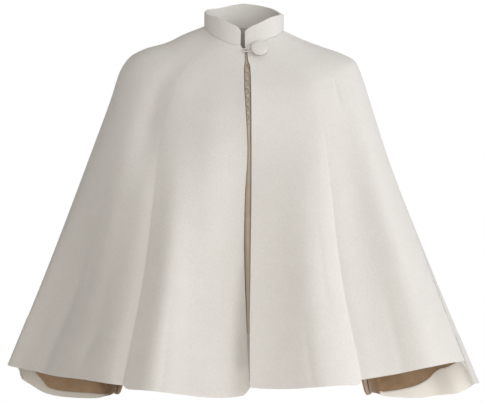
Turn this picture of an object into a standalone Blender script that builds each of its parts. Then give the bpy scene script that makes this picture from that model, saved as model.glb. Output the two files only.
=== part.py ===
"""Short felted-wool cape with a stand collar, filled out as when worn, its bell sleeves cut in one with the body.

Metres, -Y the front, +Z up. Left (-X) and right (+X) are as seen from the front. The origin is the centre of the
neck at the collar seam. Every cloth piece is a wall of one garment surface. A place on it is given by its side
(-1 or 1), by around (0 centre front, 0.5 side seam, 1 over the arm, 1.5 side seam again, 2 centre back) and by
down (0 at the neck, 1 near the hem). Lengths in the tables are millimetres.
"""

import math

import bpy
import numpy as np

MM = 0.001
LEFT = -1
RIGHT = 1

WOOL = 3.0 * MM
COLLAR_WALL = 4.0 * MM
LINING_WALL = 1.0 * MM
FACING_WALL = 2.0 * MM
GAP = 0.3 * MM
LAYER_GAP = 0.8 * MM

SIDE = 0.5

# The level sections: 2 is an ellipse and more is squarer, reached at ROUNDNESS_FULL down.
ROUNDNESS_TOP = 2.2
ROUNDNESS_LEFT = 2.6
ROUNDNESS_RIGHT = 3.0
ROUNDNESS_FULL = 0.55

# How straight the left sleeve's front runs from the side seam to the arm, and where down it begins and is full.
FLAT_LEFT = 0.85
FLAT_SOFT = 0.35
FLAT_START = 0.35
FLAT_FULL = 0.90

# The side seams: how deep the front dips there, and how wide each cloth bends towards the seam.
SEAM_DIP = 1.0 * MM
FRONT_SEAM_BODY = 14.0 * MM
FRONT_SEAM_SLEEVE = 12.0 * MM
BACK_SEAM_BODY = 23.0 * MM
BACK_SEAM_SLEEVE = 19.0 * MM
SLEEVE_BACK_SHARE = 0.80
SEAM_SHARE = 0.004
UNDERARM_START = 0.27
UNDERARM_END = 0.51

# One row for each ring of the garment: where it passes the arm, the centre lines and the side seams.
RING_COLUMNS = (
    "down", "arm_left_x", "arm_left_z", "arm_right_x", "arm_right_z", "front_y", "front_z", "side_front_z",
    "side_back_z", "back_y", "back_z", "side_left_x", "side_right_x",
)
RINGS = (
    (0.00, 70, 8, 70, 0, 64, -30, -16, 7, 62, 12, 48, 48),
    (0.05, 103, -5, 102, -15, 72, -56, -38, -12, 79, -16, 70, 70),
    (0.10, 136, -21, 136, -28, 80, -83, -58, -34, 92, -46, 90, 90),
    (0.15, 174, -32, 170, -40, 90, -111, -78, -57, 101, -78, 106, 105),
    (0.19, 200, -46, 195, -54, 98, -134, -96, -78, 106, -104, 117, 115),
    (0.23, 217, -70, 207, -81, 105, -157, -117, -102, 110, -130, 126, 123),
    (0.30, 233, -118, 222, -128, 115, -197, -158, -150, 114, -175, 137, 133),
    (0.45, 271, -221, 254, -229, 127, -285, -250, -250, 118, -274, 148, 144),
    (0.70, 337, -393, 320, -398, 134, -433, -413, -413, 126, -438, 168, 163),
    (1.00, 421, -599, 404, -600, 142, -610, -604, -604, 138, -635, 203, 199),
    (1.10, 450, -668, 432, -668, 145, -669, -668, -668, 142, -701, 215, 211),
)

# The hem's height on the fronts, from the centre front to the seam over the arm.
FRONT_HEM = (
    (0.00, -628, -611),
    (0.10, -625, -613),
    (0.22, -621, -610),
    (0.38, -615, -607),
    (0.47, -614, -608),
    (0.50, -608, -600),
    (0.58, -603, -590),
    (0.67, -600, -580),
    (0.80, -592, -574),
    (1.05, -586, -574),
)

# The hem's height on the back, from the seam over the arm to the centre back. It meets the front at the side seam.
BACK_HEM = (
    (0.87, -588, -612),
    (1.05, -588, -621),
    (1.15, -600, -634),
    (1.19, -619, -640),
    (1.24, -632, -646),
    (1.30, -648, -653),
    (1.36, -656, -658),
    (1.43, -660, -657),
    (1.46, -655, -650),
    (1.48, -637, -637),
    (1.497, -620, -622),
    (1.50, -608, -600),
    (1.52, -612, -609),
    (1.55, -624, -620),
    (1.62, -631, -631),
    (2.00, -632, -632),
)

# Where the seam over the arm runs: down, then around on the left and on the right.
OVER_ARM = (
    (0.00, 1.00, 1.00),
    (0.20, 1.00, 0.98),
    (0.60, 1.02, 0.92),
    (1.00, 1.05, 0.87),
    (1.10, 1.05, 0.87),
)

# The front edges: down, the place across of the left and the right one, and how far each sinks back.
FRONT_EDGES = (
    (0.000, -6.0, 1.2, 0.0, 0.0),
    (0.024, 1.0, 5.6, 0.0, 0.0),
    (0.050, 1.2, 7.0, 0.0, 0.0),
    (0.075, -0.4, 10.6, 0.0, 0.0),
    (0.130, 0.0, 12.0, 0.0, 0.0),
    (0.240, 3.8, 12.6, 1.0, 0.0),
    (0.325, 5.8, 12.6, 5.0, 2.0),
    (0.470, 1.2, 12.4, 13.0, 6.0),
    (0.585, 0.0, 11.4, 17.0, 8.0),
    (0.700, 1.4, 10.6, 20.0, 9.0),
    (0.810, 4.0, 9.6, 23.0, 9.0),
    (0.890, 6.5, 9.0, 25.0, 9.0),
    (0.950, 9.5, 9.0, 27.0, 9.0),
    (1.000, 13.0, 9.5, 29.0, 9.0),
    (1.100, 15.0, 10.0, 32.0, 9.0),
)
SINK_WIDTH = 80.0 * MM

# The fronts' fall away from the opening over the chest.
KEEL = 20.0 * MM
KEEL_WIDTH = 100.0 * MM
KEEL_FULL = 0.16
KEEL_FADE = 0.16
KEEL_END = 0.40

# Soft folds: side, around at the hem and at their start, width, height at the hem (troughs below 0), start.
FOLDS = (
    (LEFT, 0.35, 0.33, 0.11, 18.0, 0.24),
    (LEFT, 0.58, 0.66, 0.07, 6.0, 0.20),
    (LEFT, 0.80, 0.76, 0.12, -10.0, 0.26),
    (LEFT, 1.22, 1.20, 0.06, 9.0, 0.40),
    (LEFT, 1.68, 1.66, 0.05, 11.0, 0.35),
    (LEFT, 1.84, 1.82, 0.05, -12.0, 0.42),
    (RIGHT, 0.25, 0.27, 0.13, 9.0, 0.26),
    (RIGHT, 0.54, 0.60, 0.10, -12.0, 0.08),
    (RIGHT, 0.68, 0.72, 0.07, 9.0, 0.20),
    (RIGHT, 1.18, 1.16, 0.06, -8.0, 0.46),
    (RIGHT, 1.30, 1.29, 0.05, 8.0, 0.42),
    (RIGHT, 1.66, 1.68, 0.05, 12.0, 0.32),
    (RIGHT, 1.82, 1.84, 0.05, -11.0, 0.45),
)
FOLD_FULL = 0.55
FOLD_DRIFT_END = 1.2

# The collar: around, then its height above the neck seam on the left and on the right.
COLLAR = (
    (0.00, 25.0, 24.0),
    (0.05, 31.0, 29.0),
    (0.14, 34.0, 32.5),
    (0.50, 36.0, 35.5),
    (0.75, 28.0, 32.0),
    (1.00, 25.0, 28.0),
    (1.20, 32.0, 31.0),
    (1.50, 37.5, 38.0),
    (2.00, 42.0, 42.0),
)
COLLAR_LEAN = 0.035
COLLAR_CORNER = (0, 0.05, 0.14)
COLLAR_REST = (0.25, 2, 17)
COLLAR_RISES = (1.0, 0.67, 0.33, 0)

FRONT_SPACING = 19.0 * MM
BACK_SPACING = 25.0 * MM
BEND_RADIUS = 30.0 * MM
ROW_COUNT = 17
ROW_BEND_RADIUS = 160.0 * MM
REFERENCE_RING = 0.85
LAST_RING = 1.1
FINE_STEPS = 400
HUNG_POWER = 6
SLOPE_STEP = 1e-3
SHARP_ANGLE = 50.0

LINING_TOP = 0.56
FACING_RISE = 1.0 * MM
SPOKE = 700.0 * MM
HEM_STEP = 0.06
FACING_ROWS = 3
LINED_FROM = 0.51
LINED_TO = 1.478

# The strip inside a sleeve's hem: around, then its width on the left and on the right. It narrows to the side seam.
FACING_WIDTHS = (
    (0.50, 6.0, 6.0),
    (0.60, 14.0, 24.0),
    (1.00, 24.0, 45.0),
    (1.27, 25.0, 42.0),
    (1.31, 12.0, 33.0),
    (1.40, 12.0, 16.0),
    (1.45, 8.0, 8.0),
    (1.48, 4.0, 4.0),
    (1.49, 1.0, 1.0),
)

UNDERLAP_TOP = 0.012
UNDERLAP_END = 0.85
UNDERLAP_WALL = 2.0 * MM

BUTTON_DOWN = 0.021
BUTTON_X = 26.0 * MM
BUTTON_RADIUS = 14.5 * MM
BUTTON_HEIGHT = 7.0 * MM
BUTTON_RIM = 2.0 * MM
BUTTON_UNDERSIDE = 13.5 * MM
BUTTON_SHANK = 4.2 * MM
SHANK_RADIUS = 2.8 * MM
DOME_STEPS = 6
DOME_POWER = 0.8
TURN_STEPS = 24
MERGE_DISTANCE = 0.01 * MM

LOOP_RADIUS = 1.4 * MM
LOOP_TURN = 250.0
LOOP_STEPS = 8
LOOP_RING = 4.5 * MM
LOOP_LIFT = 0.6 * MM
LOOP_ARCH = 1.1 * MM
LOOP_FOOT = 0.02
LOOP_SPREAD = 2.2 * MM

LOOP_CORD_RADIUS = 1.3 * MM
LOOP_CORD_FROM = 0.062
LOOP_CORD_TO = 0.25
LOOP_CORD_WAVES = 7
LOOP_CORD_POINTS = 8

IVORY = (0.80, 0.765, 0.71)
CREAM = (0.78, 0.74, 0.67)
TAUPE = (0.60, 0.53, 0.45)
CARAMEL = (0.47, 0.32, 0.19)


def slopes_at(places, values):
    """The slope at each row of a table, level where its values turn back."""
    steps = np.diff(places)
    rises = np.diff(values) / steps
    slopes = [rises[0]]
    for i in range(1, len(rises)):
        before = rises[i - 1]
        after = rises[i]
        if before * after <= 0:
            slopes.append(0.0)
            continue
        near = 2 * steps[i] + steps[i - 1]
        far = steps[i] + 2 * steps[i - 1]
        slopes.append((near + far) / (near / before + far / after))
    slopes.append(rises[-1])
    return np.array(slopes)


def curve_through(places, values, x):
    """A smooth curve through the values that doesn't overshoot them, read at x."""
    places = np.asarray(places, float)
    values = np.asarray(values, float)
    slopes = slopes_at(places, values)
    x = np.clip(x, places[0], places[-1])
    row = np.clip(np.searchsorted(places, x, side="right") - 1, 0, len(places) - 2)
    step = places[row + 1] - places[row]
    share = (x - places[row]) / step
    start = values[row] * (1 + 2 * share) * (1 - share) ** 2 + slopes[row] * step * share * (1 - share) ** 2
    end = values[row + 1] * (3 - 2 * share) * share**2 + slopes[row + 1] * step * share**2 * (share - 1)
    return start + end


def for_side(side, left, right):
    return left if side == LEFT else right


def column(table, index, x):
    """One column of a table whose first column is its place, in metres."""
    rows = np.asarray(table, float)
    return curve_through(rows[:, 0], rows[:, index], x) * MM


def ring(name, down):
    return column(RINGS, RING_COLUMNS.index(name), down)


def ease(share):
    share = np.clip(share, 0, 1)
    return share * share * (3 - 2 * share)


def three_way(share, first, middle, last):
    """A smooth run from first over middle, at half, to last, level at both ends."""
    slope = last - first
    half = 2 * share
    early = first * (1 + 2 * half) * (1 - half) ** 2 + middle * (3 - 2 * half) * half**2
    early = early + slope * 0.5 * half**2 * (half - 1)
    rest = half - 1
    late = middle * (1 + 2 * rest) * (1 - rest) ** 2 + last * (3 - 2 * rest) * rest**2
    late = late + slope * 0.5 * rest * (1 - rest) ** 2
    return np.where(share < 0.5, early, late)


def ring_height(side, around, down):
    arm = ring(for_side(side, "arm_left_z", "arm_right_z"), down)
    front = three_way(np.clip(around, 0, 1), ring("front_z", down), ring("side_front_z", down), arm)
    back = three_way(np.clip(2 - around, 0, 1), ring("back_z", down), ring("side_back_z", down), arm)
    return np.where(around <= 1, front, back)


def arm_place(side, down):
    return ring(for_side(side, "arm_left_x", "arm_right_x"), down)


def side_place(side, down):
    return ring(for_side(side, "side_left_x", "side_right_x"), down)


def front_edge_place(side, down):
    return column(FRONT_EDGES, for_side(side, 1, 2), down) * side


def seam_turn(side, edge, down, roundness):
    """The angle round the ring at which the side seam lies, out of a quarter turn over the arm."""
    share = (side_place(side, down) - edge) / (arm_place(side, down) - edge)
    return np.arcsin(share ** (roundness / 2))


def underarm(down):
    """0 where front and back are apart, 1 where the side seam joins them."""
    return ease((down - UNDERARM_START) / (UNDERARM_END - UNDERARM_START))


def front_roundness(side, down):
    """How square a front's section is, more so lower down."""
    lower = for_side(side, ROUNDNESS_LEFT, ROUNDNESS_RIGHT)
    return ROUNDNESS_TOP + (lower - ROUNDNESS_TOP) * ease(down / ROUNDNESS_FULL)


def keel(down, from_edge):
    """How far the front stands forward beside its opening, over the chest."""
    share = ease(down / KEEL_FULL) * (1 - ease((down - KEEL_FADE) / (KEEL_END - KEEL_FADE)))
    return KEEL * share * np.exp(-from_edge / KEEL_WIDTH)


def edge_sink(side, down, from_edge):
    """How far the front falls back beside its opening, lower down."""
    return column(FRONT_EDGES, for_side(side, 3, 4), down) * np.exp(-((from_edge / SINK_WIDTH) ** 2))


def front_at_seam(side, down):
    """How far forward the front lies at the side seam, its folds included."""
    roundness = front_roundness(side, down)
    edge = front_edge_place(side, down)
    turn = seam_turn(side, edge, down, roundness)
    plain = SEAM_DIP - ring("front_y", down) * np.cos(turn) ** (2 / roundness)
    from_edge = side_place(side, down) - edge
    return plain + edge_sink(side, down, from_edge) - keel(down, from_edge) - fold_height(side, SIDE, down)


def unfolded(side, around, down):
    """The garment surface with its side seams but without its folds, and how near the seam each place is."""
    front = around <= 1
    quarter = np.where(front, around, 2 - around)
    roundness = np.where(front, front_roundness(side, down), ROUNDNESS_TOP)
    arm_x = arm_place(side, down)
    seam_x = side_place(side, down)
    edge = np.where(front, front_edge_place(side, down), 0)
    at_seam = seam_turn(side, edge, down, roundness)
    inner = at_seam * quarter / SIDE
    outer = at_seam + (math.pi / 2 - at_seam) * (quarter - SIDE) / (1 - SIDE)
    turn = np.clip(np.where(quarter < SIDE, inner, outer), 0, math.pi / 2)
    x = edge + (arm_x - edge) * np.sin(turn) ** (2 / roundness)
    share = np.clip(np.cos(turn), 0, 1) ** (2 / roundness)
    from_seam = x - seam_x
    joined = underarm(down)
    out = from_seam / (arm_x - seam_x)
    straight = np.cos(at_seam) ** (2 / roundness) * (1 - out)
    flat = np.where(front, for_side(side, FLAT_LEFT, 0), 0) * ease(out / FLAT_SOFT)
    flat = flat * ease((down - FLAT_START) / (FLAT_FULL - FLAT_START))
    share = share + (straight - share) * flat

    wide = np.where(from_seam < 0, FRONT_SEAM_BODY, FRONT_SEAM_SLEEVE)
    front_near = np.exp(-((from_seam / wide) ** 2))
    front_y = -ring("front_y", down) * share + SEAM_DIP * front_near * joined
    from_edge = x - edge
    front_y = front_y + edge_sink(side, down, from_edge) - keel(down, from_edge)

    meeting = front_at_seam(side, down) + 2 * WOOL + GAP
    sleeve = ease(out) * joined
    back_open = ring("back_y", down) * share * (1 - (1 - SLEEVE_BACK_SHARE) * sleeve)
    wide = np.where(from_seam < 0, BACK_SEAM_BODY, BACK_SEAM_SLEEVE)
    back_near = np.exp(-((from_seam / wide) ** 2))
    back_y = back_open + (meeting - back_open) * back_near * joined

    y = np.where(front, front_y, back_y)
    near = np.where(front, front_near, back_near) * joined
    points = np.stack(np.broadcast_arrays(side * x, y, ring_height(side, around, down)), axis=-1)
    return points, near


def normals_of(surface, side, around, down):
    """Outward unit normals, from the surface's own slopes."""
    ahead = surface(side, np.clip(around + SLOPE_STEP, 0, 2), down)
    across = ahead - surface(side, np.clip(around - SLOPE_STEP, 0, 2), down)
    below = surface(side, around, np.clip(down + SLOPE_STEP, 0, LAST_RING))
    along = below - surface(side, around, np.clip(down - SLOPE_STEP, 0, LAST_RING))
    normal = np.cross(along, across) * side
    return normal / np.linalg.norm(normal, axis=-1, keepdims=True)


def unfolded_points(side, around, down):
    return unfolded(side, around, down)[0]


def fold_height(side, around, down):
    total = np.zeros(np.broadcast(around, down).shape)
    for fold_side, at_hem, at_start, width, height, start in FOLDS:
        if fold_side != side:
            continue
        share = np.clip((down - start) / (1 - start), 0, FOLD_DRIFT_END)
        centre = at_start + (at_hem - at_start) * share
        grown = ease((down - start) / FOLD_FULL)
        total = total + height * MM * grown * np.exp(-(((around - centre) / width) ** 2))
    return total


def garment(side, around, down):
    """Points of the outer face. At the side seam the front's folds go straight forward and the back has none."""
    around, down = np.broadcast_arrays(np.asarray(around, float), np.asarray(down, float))
    points, near = unfolded(side, around, down)
    near = near[..., None]
    forward = np.where((around <= 1)[..., None], (0.0, -1.0, 0.0), 0.0)
    direction = normals_of(unfolded_points, side, around, down) * (1 - near) + forward * near
    return points + fold_height(side, around, down)[..., None] * direction


def sheet(side, around, down, depth):
    """Points this far inside the outer face."""
    points = garment(side, around, down)
    return points - depth * normals_of(garment, side, around, down)


def over_arm(side, down):
    rows = np.asarray(OVER_ARM, float)
    return curve_through(rows[:, 0], rows[:, for_side(side, 1, 2)], down)


def hem_down(side, around, table):
    """How far down the surface the hem's height is reached."""
    height = column(table, for_side(side, 1, 2), around)
    at_one = ring_height(side, around, np.ones_like(around))
    at_last = ring_height(side, around, np.full_like(around, LAST_RING))
    return 1 + (LAST_RING - 1) * (at_one - height) / (at_one - at_last)


def hung(down, hem):
    """Rows that end at the hem and keep their level higher up."""
    return down + (hem - 1) * down**HUNG_POWER


def length_and_bend(points, bend_radius):
    """The run along the points, where each bend counts as a length of its own."""
    steps = np.diff(points, axis=0)
    lengths = np.linalg.norm(steps, axis=1)
    headings = steps / lengths[:, None]
    lengths[1:] += bend_radius * np.arccos(np.clip(np.sum(headings[1:] * headings[:-1], axis=1), -1, 1))
    return np.concatenate([[0], np.cumsum(lengths)])


def evenly_spaced(side, start, end, spacing):
    """Places an equal length of cloth apart on the reference ring, closer in its bends."""
    fine = np.linspace(start, end, FINE_STEPS)
    run = length_and_bend(garment(side, fine, REFERENCE_RING), BEND_RADIUS)
    count = max(3, round(run[-1] / spacing) + 1)
    return np.interp(np.linspace(0, run[-1], count), run, fine)


def rows_down():
    """The rows of every panel, closer where the shoulder bends."""
    fine = np.linspace(0, 1, FINE_STEPS)
    run = length_and_bend(garment(RIGHT, 1.0, fine), ROW_BEND_RADIUS)
    return np.interp(np.linspace(0, run[-1], ROW_COUNT), run, fine)


def front_places(side):
    body = evenly_spaced(side, 0, SIDE, FRONT_SPACING)
    sleeve = evenly_spaced(side, SIDE, 1, FRONT_SPACING)
    return np.concatenate([body, sleeve[1:]])


def back_places(side):
    sleeve = evenly_spaced(side, 1, 2 - SIDE, BACK_SPACING)
    body = evenly_spaced(side, 2 - SIDE, 2, BACK_SPACING)
    return np.concatenate([sleeve, body[1:]])


def front_around(base, edge):
    """The columns of a front at one height, its sleeve part drawn out to the seam over the arm at edge."""
    return np.where(base > SIDE, SIDE + (base - SIDE) * (edge - SIDE) / (1 - SIDE), base)


def back_around(base, edge):
    turned = 2 - SIDE
    return np.where(base < turned, turned - (turned - base) * (turned - edge) / (1 - SIDE), base)


def front_grid(side):
    """Around and down for each point of a front."""
    down = rows_down()[:, None]
    around = front_around(front_places(side)[None, :], over_arm(side, down))
    return around, hung(down, hem_down(side, around, FRONT_HEM))


def back_grid(side):
    """Around and down for each point of half the back, which starts a seam's gap from the front."""
    down = rows_down()[:, None]
    around = back_around(back_places(side)[None, :], over_arm(side, down) + SEAM_SHARE)
    return around, hung(down, hem_down(side, around, BACK_HEM))


def finish(thing, collection, material):
    thing.data.materials.append(material)
    for owner in list(thing.users_collection):
        owner.objects.unlink(thing)
    collection.objects.link(thing)
    return thing


def wall(name, outer, inner, collection, material):
    """A closed wall lofted between an outer and an inner grid of points with the same rows and columns."""
    rows, columns = outer.shape[:2]
    index = np.arange(rows * columns).reshape(rows, columns)
    under = index + rows * columns
    faces = []
    for r in range(rows - 1):
        for c in range(columns - 1):
            faces.append((index[r, c], index[r + 1, c], index[r + 1, c + 1], index[r, c + 1]))
            faces.append((under[r, c], under[r, c + 1], under[r + 1, c + 1], under[r + 1, c]))
    for c in range(columns - 1):
        faces.append((index[0, c], index[0, c + 1], under[0, c + 1], under[0, c]))
        faces.append((index[-1, c + 1], index[-1, c], under[-1, c], under[-1, c + 1]))
    for r in range(rows - 1):
        faces.append((index[r + 1, 0], index[r, 0], under[r, 0], under[r + 1, 0]))
        faces.append((index[r, -1], index[r + 1, -1], under[r + 1, -1], under[r, -1]))
    vertices = np.concatenate([outer.reshape(-1, 3), inner.reshape(-1, 3)])
    mesh = bpy.data.meshes.new(name)
    mesh.from_pydata(vertices.tolist(), [], [tuple(int(i) for i in face) for face in faces])
    mesh.shade_smooth()
    mesh.set_sharp_from_angle(angle=math.radians(SHARP_ANGLE))
    thing = bpy.data.objects.new(name, mesh)
    bpy.context.scene.collection.objects.link(thing)
    return finish(thing, collection, material)


def outward(side, grid):
    """The grid with its columns in the order that turns its faces outwards."""
    return grid if side == RIGHT else grid[:, ::-1]


def front(name, side, collection, material):
    around, down = front_grid(side)
    outer = outward(side, sheet(side, around, down, 0))
    inner = outward(side, sheet(side, around, down, WOOL))
    return wall(name, outer, inner, collection, material)


def back(collection, material):
    """One piece from the seam over the right arm round to the seam over the left arm."""
    halves = []
    for depth in (0, WOOL):
        around, down = back_grid(RIGHT)
        right = sheet(RIGHT, around, down, depth)
        around, down = back_grid(LEFT)
        left = sheet(LEFT, around, down, depth)[:, ::-1]
        middle = (right[:, -1:] + left[:, :1]) / 2
        halves.append(np.concatenate([right[:, :-1], middle, left[:, 1:]], axis=1))
    return wall("back", halves[0], halves[1], collection, material)


def collar(collection, material):
    """A stand round the neck, open at the front, its lower edge just above the neck seam."""
    around = np.concatenate([COLLAR_CORNER, np.linspace(*COLLAR_REST)])
    rise = np.array(COLLAR_RISES)[:, None]
    parts = []
    for depth in (0, COLLAR_WALL):
        halves = []
        for side in (RIGHT, LEFT):
            base = garment(side, around, 0.0)[None]
            inward = base * (1, 1, 0)
            inward = inward / np.linalg.norm(inward, axis=-1, keepdims=True)
            height = column(COLLAR, for_side(side, 1, 2), around)[None] * rise
            lean = COLLAR_LEAN * height * np.cos(around * math.pi / 2) ** 2
            points = base - inward * (depth + lean)[..., None]
            points[..., 2] += GAP + height
            halves.append(points)
        left = halves[1][:, ::-1]
        parts.append(np.concatenate([halves[0], left[:, 1:]], axis=1))
    return wall("collar", parts[0], parts[1], collection, material)


def sleeve_around(side, down):
    """The columns of the front and of the back inside one sleeve, clear of the side seam."""
    edge = over_arm(side, down)
    before = front_places(side)
    behind = back_places(side)
    before = before[before > LINED_FROM][None, :]
    behind = behind[(behind > 1) & (behind < LINED_TO)][None, :]
    return np.concatenate([front_around(before, edge), back_around(behind, edge)], axis=1)


def sleeve_hem(side, around):
    """The hem inside a sleeve, which follows the front in front and the back behind."""
    seam = over_arm(side, 1.0)
    front_hem = hem_down(side, around, FRONT_HEM)
    back_hem = hem_down(side, around, BACK_HEM)
    return front_hem + (back_hem - front_hem) * ease((around - seam) / HEM_STEP)


def sleeve_layer(name, side, around, down, thickness, collection, material):
    """A layer on a sleeve's inner face."""
    outer = outward(side, sheet(side, around, down, WOOL + LAYER_GAP))
    inner = outward(side, sheet(side, around, down, WOOL + LAYER_GAP + thickness))
    return wall(name, outer, inner, collection, material)


def facing(name, side, collection, material):
    """The strip inside a sleeve's hem."""
    around = sleeve_around(side, np.ones((FACING_ROWS, 1)))
    width = column(FACING_WIDTHS, for_side(side, 1, 2), around)
    rise = FACING_RISE + (width - FACING_RISE) * np.linspace(1, 0, FACING_ROWS)[:, None]
    down = sleeve_hem(side, around) - rise / SPOKE
    return sleeve_layer(name, side, around, down, FACING_WALL, collection, material)


def lining(name, side, collection, material):
    """The lining of a sleeve's lower part, on the panels' own rows, down to the facing."""
    rows = rows_down()
    rows = rows[rows > LINING_TOP][:, None]
    around = sleeve_around(side, rows)
    hem = sleeve_hem(side, around)
    down = hung(rows, hem)
    width = column(FACING_WIDTHS, for_side(side, 1, 2), around[-1])
    down[-1] = hem[-1] - (width + FACING_RISE) / SPOKE
    return sleeve_layer(name, side, around, down, LINING_WALL, collection, material)


def underlap(collection, material):
    """The strip behind the front opening, on the inner faces of both fronts."""
    rows = rows_down()
    rows = rows[(rows > UNDERLAP_TOP) & (rows < UNDERLAP_END)]
    down = np.concatenate([[UNDERLAP_TOP], rows, [UNDERLAP_END]])[:, None]
    parts = []
    for depth in (WOOL + LAYER_GAP, WOOL + LAYER_GAP + UNDERLAP_WALL):
        left = sheet(LEFT, front_places(LEFT)[None, :2] + 0 * down, down, depth)[:, ::-1]
        right = sheet(RIGHT, front_places(RIGHT)[None, :2] + 0 * down, down, depth)
        parts.append(np.concatenate([left, right], axis=1))
    return wall("front_underlap", parts[0], parts[1], collection, material)


def front_face_at(x, down):
    """The point and the normal of the right front's outer face at a place across, between two of its rows."""
    around = np.linspace(0, SIDE, FINE_STEPS)
    rows = rows_down()
    below = np.searchsorted(rows, down)
    top = garment(RIGHT, around, rows[below - 1])
    bottom = garment(RIGHT, around, rows[below])
    line = top + (bottom - top) * (down - rows[below - 1]) / (rows[below] - rows[below - 1])
    after = np.searchsorted(line[:, 0], x)
    across = line[after] - line[after - 1]
    point = line[after] + across * (x - line[after, 0]) / across[0]
    normal = np.cross(bottom[after] - top[after], across)
    return point, normal / np.linalg.norm(normal)


def turned_to(normal):
    """A rotation that takes +Z to the normal."""
    from_z = np.array([0.0, 0.0, 1.0])
    axis = np.cross(from_z, normal)
    angle = math.acos(float(np.clip(np.dot(from_z, normal), -1, 1)))
    length = np.linalg.norm(axis)
    unit = axis / length
    half = math.sin(angle / 2)
    return (math.cos(angle / 2), unit[0] * half, unit[1] * half, unit[2] * half)


def button(collection, material):
    """A cloth-covered dome with a short shank under it, turned about its own axis."""
    point, normal = front_face_at(BUTTON_X, BUTTON_DOWN)
    profile = [(0, BUTTON_SHANK + BUTTON_HEIGHT)]
    for step in range(1, DOME_STEPS + 1):
        angle = step / DOME_STEPS * math.pi / 2
        height = BUTTON_SHANK + BUTTON_RIM + (BUTTON_HEIGHT - BUTTON_RIM) * math.cos(angle)
        profile.append((BUTTON_RADIUS * math.sin(angle) ** DOME_POWER, height))
    profile.append((BUTTON_UNDERSIDE, BUTTON_SHANK))
    profile.append((SHANK_RADIUS, BUTTON_SHANK))
    profile.append((SHANK_RADIUS, 0))
    profile.append((0, 0))
    mesh = bpy.data.meshes.new("button")
    edges = [(i, i + 1) for i in range(len(profile) - 1)]
    mesh.from_pydata([(r, 0, z) for r, z in profile], edges, [])
    thing = bpy.data.objects.new("button", mesh)
    bpy.context.scene.collection.objects.link(thing)
    screw = thing.modifiers.new("turned", "SCREW")
    screw.steps = TURN_STEPS
    screw.render_steps = TURN_STEPS
    screw.use_merge_vertices = True
    screw.merge_threshold = MERGE_DISTANCE
    thing.location = point + normal * GAP
    thing.rotation_mode = "QUATERNION"
    thing.rotation_quaternion = turned_to(normal)
    return finish(thing, collection, material)


def tube(name, points, radius, sides, collection, material):
    """A round cord through the points."""
    data = bpy.data.curves.new(name, "CURVE")
    data.dimensions = "3D"
    data.bevel_depth = radius
    data.bevel_resolution = sides
    data.use_fill_caps = True
    spline = data.splines.new("POLY")
    spline.points.add(len(points) - 1)
    for place, point in zip(spline.points, points):
        place.co = (*point, 1.0)
    thing = bpy.data.objects.new(name, data)
    bpy.context.scene.collection.objects.link(thing)
    return finish(thing, collection, material)


def button_loop(collection, material):
    """A cord from the left front's edge, across the opening, round the button's shank and back."""
    point, normal = front_face_at(BUTTON_X, BUTTON_DOWN)
    across = np.cross((0.0, 0.0, 1.0), normal)
    across = across / np.linalg.norm(across)
    rise = np.cross(normal, across)
    centre = point + normal * (GAP + LOOP_RADIUS + LOOP_LIFT)
    points = []
    for step in range(LOOP_STEPS + 1):
        angle = math.radians(LOOP_TURN * (0.5 - step / LOOP_STEPS))
        points.append(centre + (across * math.cos(angle) + rise * math.sin(angle)) * LOOP_RING)
    place = np.array([LOOP_FOOT]), np.array([BUTTON_DOWN])
    foot = sheet(LEFT, *place, -LOOP_RADIUS - GAP)[0]
    middle = foot / 2 + normal * LOOP_ARCH
    top = [foot + rise * LOOP_SPREAD, middle + (points[0] + rise * LOOP_SPREAD) / 2]
    bottom = [middle + (points[-1] - rise * LOOP_SPREAD) / 2, foot - rise * LOOP_SPREAD]
    return tube("button_loop", top + points + bottom, LOOP_RADIUS, 2, collection, material)


def loop_cord(collection, material):
    """A rouleau cord in even waves down the upper part of the underlap."""
    rows = rows_down()
    edges = [sheet(side, np.zeros(ROW_COUNT), rows, WOOL + GAP) for side in (LEFT, RIGHT)]
    steps = LOOP_CORD_WAVES * LOOP_CORD_POINTS + 1
    points = []
    for step in range(steps):
        share = step / (steps - 1)
        down = LOOP_CORD_FROM + (LOOP_CORD_TO - LOOP_CORD_FROM) * share
        left, right = [np.array([np.interp(down, rows, edge[:, axis]) for axis in range(3)]) for edge in edges]
        wave = math.sin(share * LOOP_CORD_WAVES * 2 * math.pi)
        room = 0.5 - (LOOP_CORD_RADIUS + 2 * GAP) / np.linalg.norm(right - left)
        point = left + (right - left) * (0.5 + room * wave)
        points.append(point + np.array([0, -(LOOP_CORD_RADIUS + GAP), 0]))
    return tube("loop_cord", points, LOOP_CORD_RADIUS, 1, collection, material)


def material(name, colour, roughness):
    made = bpy.data.materials.new(name)
    made.use_nodes = True
    shader = made.node_tree.nodes["Principled BSDF"]
    shader.inputs["Base Color"].default_value = (*colour, 1.0)
    shader.inputs["Roughness"].default_value = roughness
    shader.inputs["Metallic"].default_value = 0.0
    return made


def build():
    for old in list(bpy.data.objects):
        bpy.data.objects.remove(old, do_unlink=True)
    cape = bpy.data.collections.new("cape")
    bpy.context.scene.collection.children.link(cape)

    front("front_left", LEFT, cape, material("front_left_wool", IVORY, 0.95))
    front("front_right", RIGHT, cape, material("front_right_wool", IVORY, 0.95))
    back(cape, material("back_wool", IVORY, 0.95))
    collar(cape, material("collar_wool", IVORY, 0.95))
    underlap(cape, material("underlap_cloth", TAUPE, 0.9))
    button(cape, material("button_cover", IVORY, 0.9))
    button_loop(cape, material("loop_cover", IVORY, 0.9))
    loop_cord(cape, material("loop_cord_cover", TAUPE, 0.9))

    for side, word in ((LEFT, "left"), (RIGHT, "right")):
        facing(f"facing_{word}", side, cape, material(f"facing_{word}_wool", CREAM, 0.95))
        lining(f"lining_{word}", side, cape, material(f"lining_{word}_cloth", CARAMEL, 0.5))


build()
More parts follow.
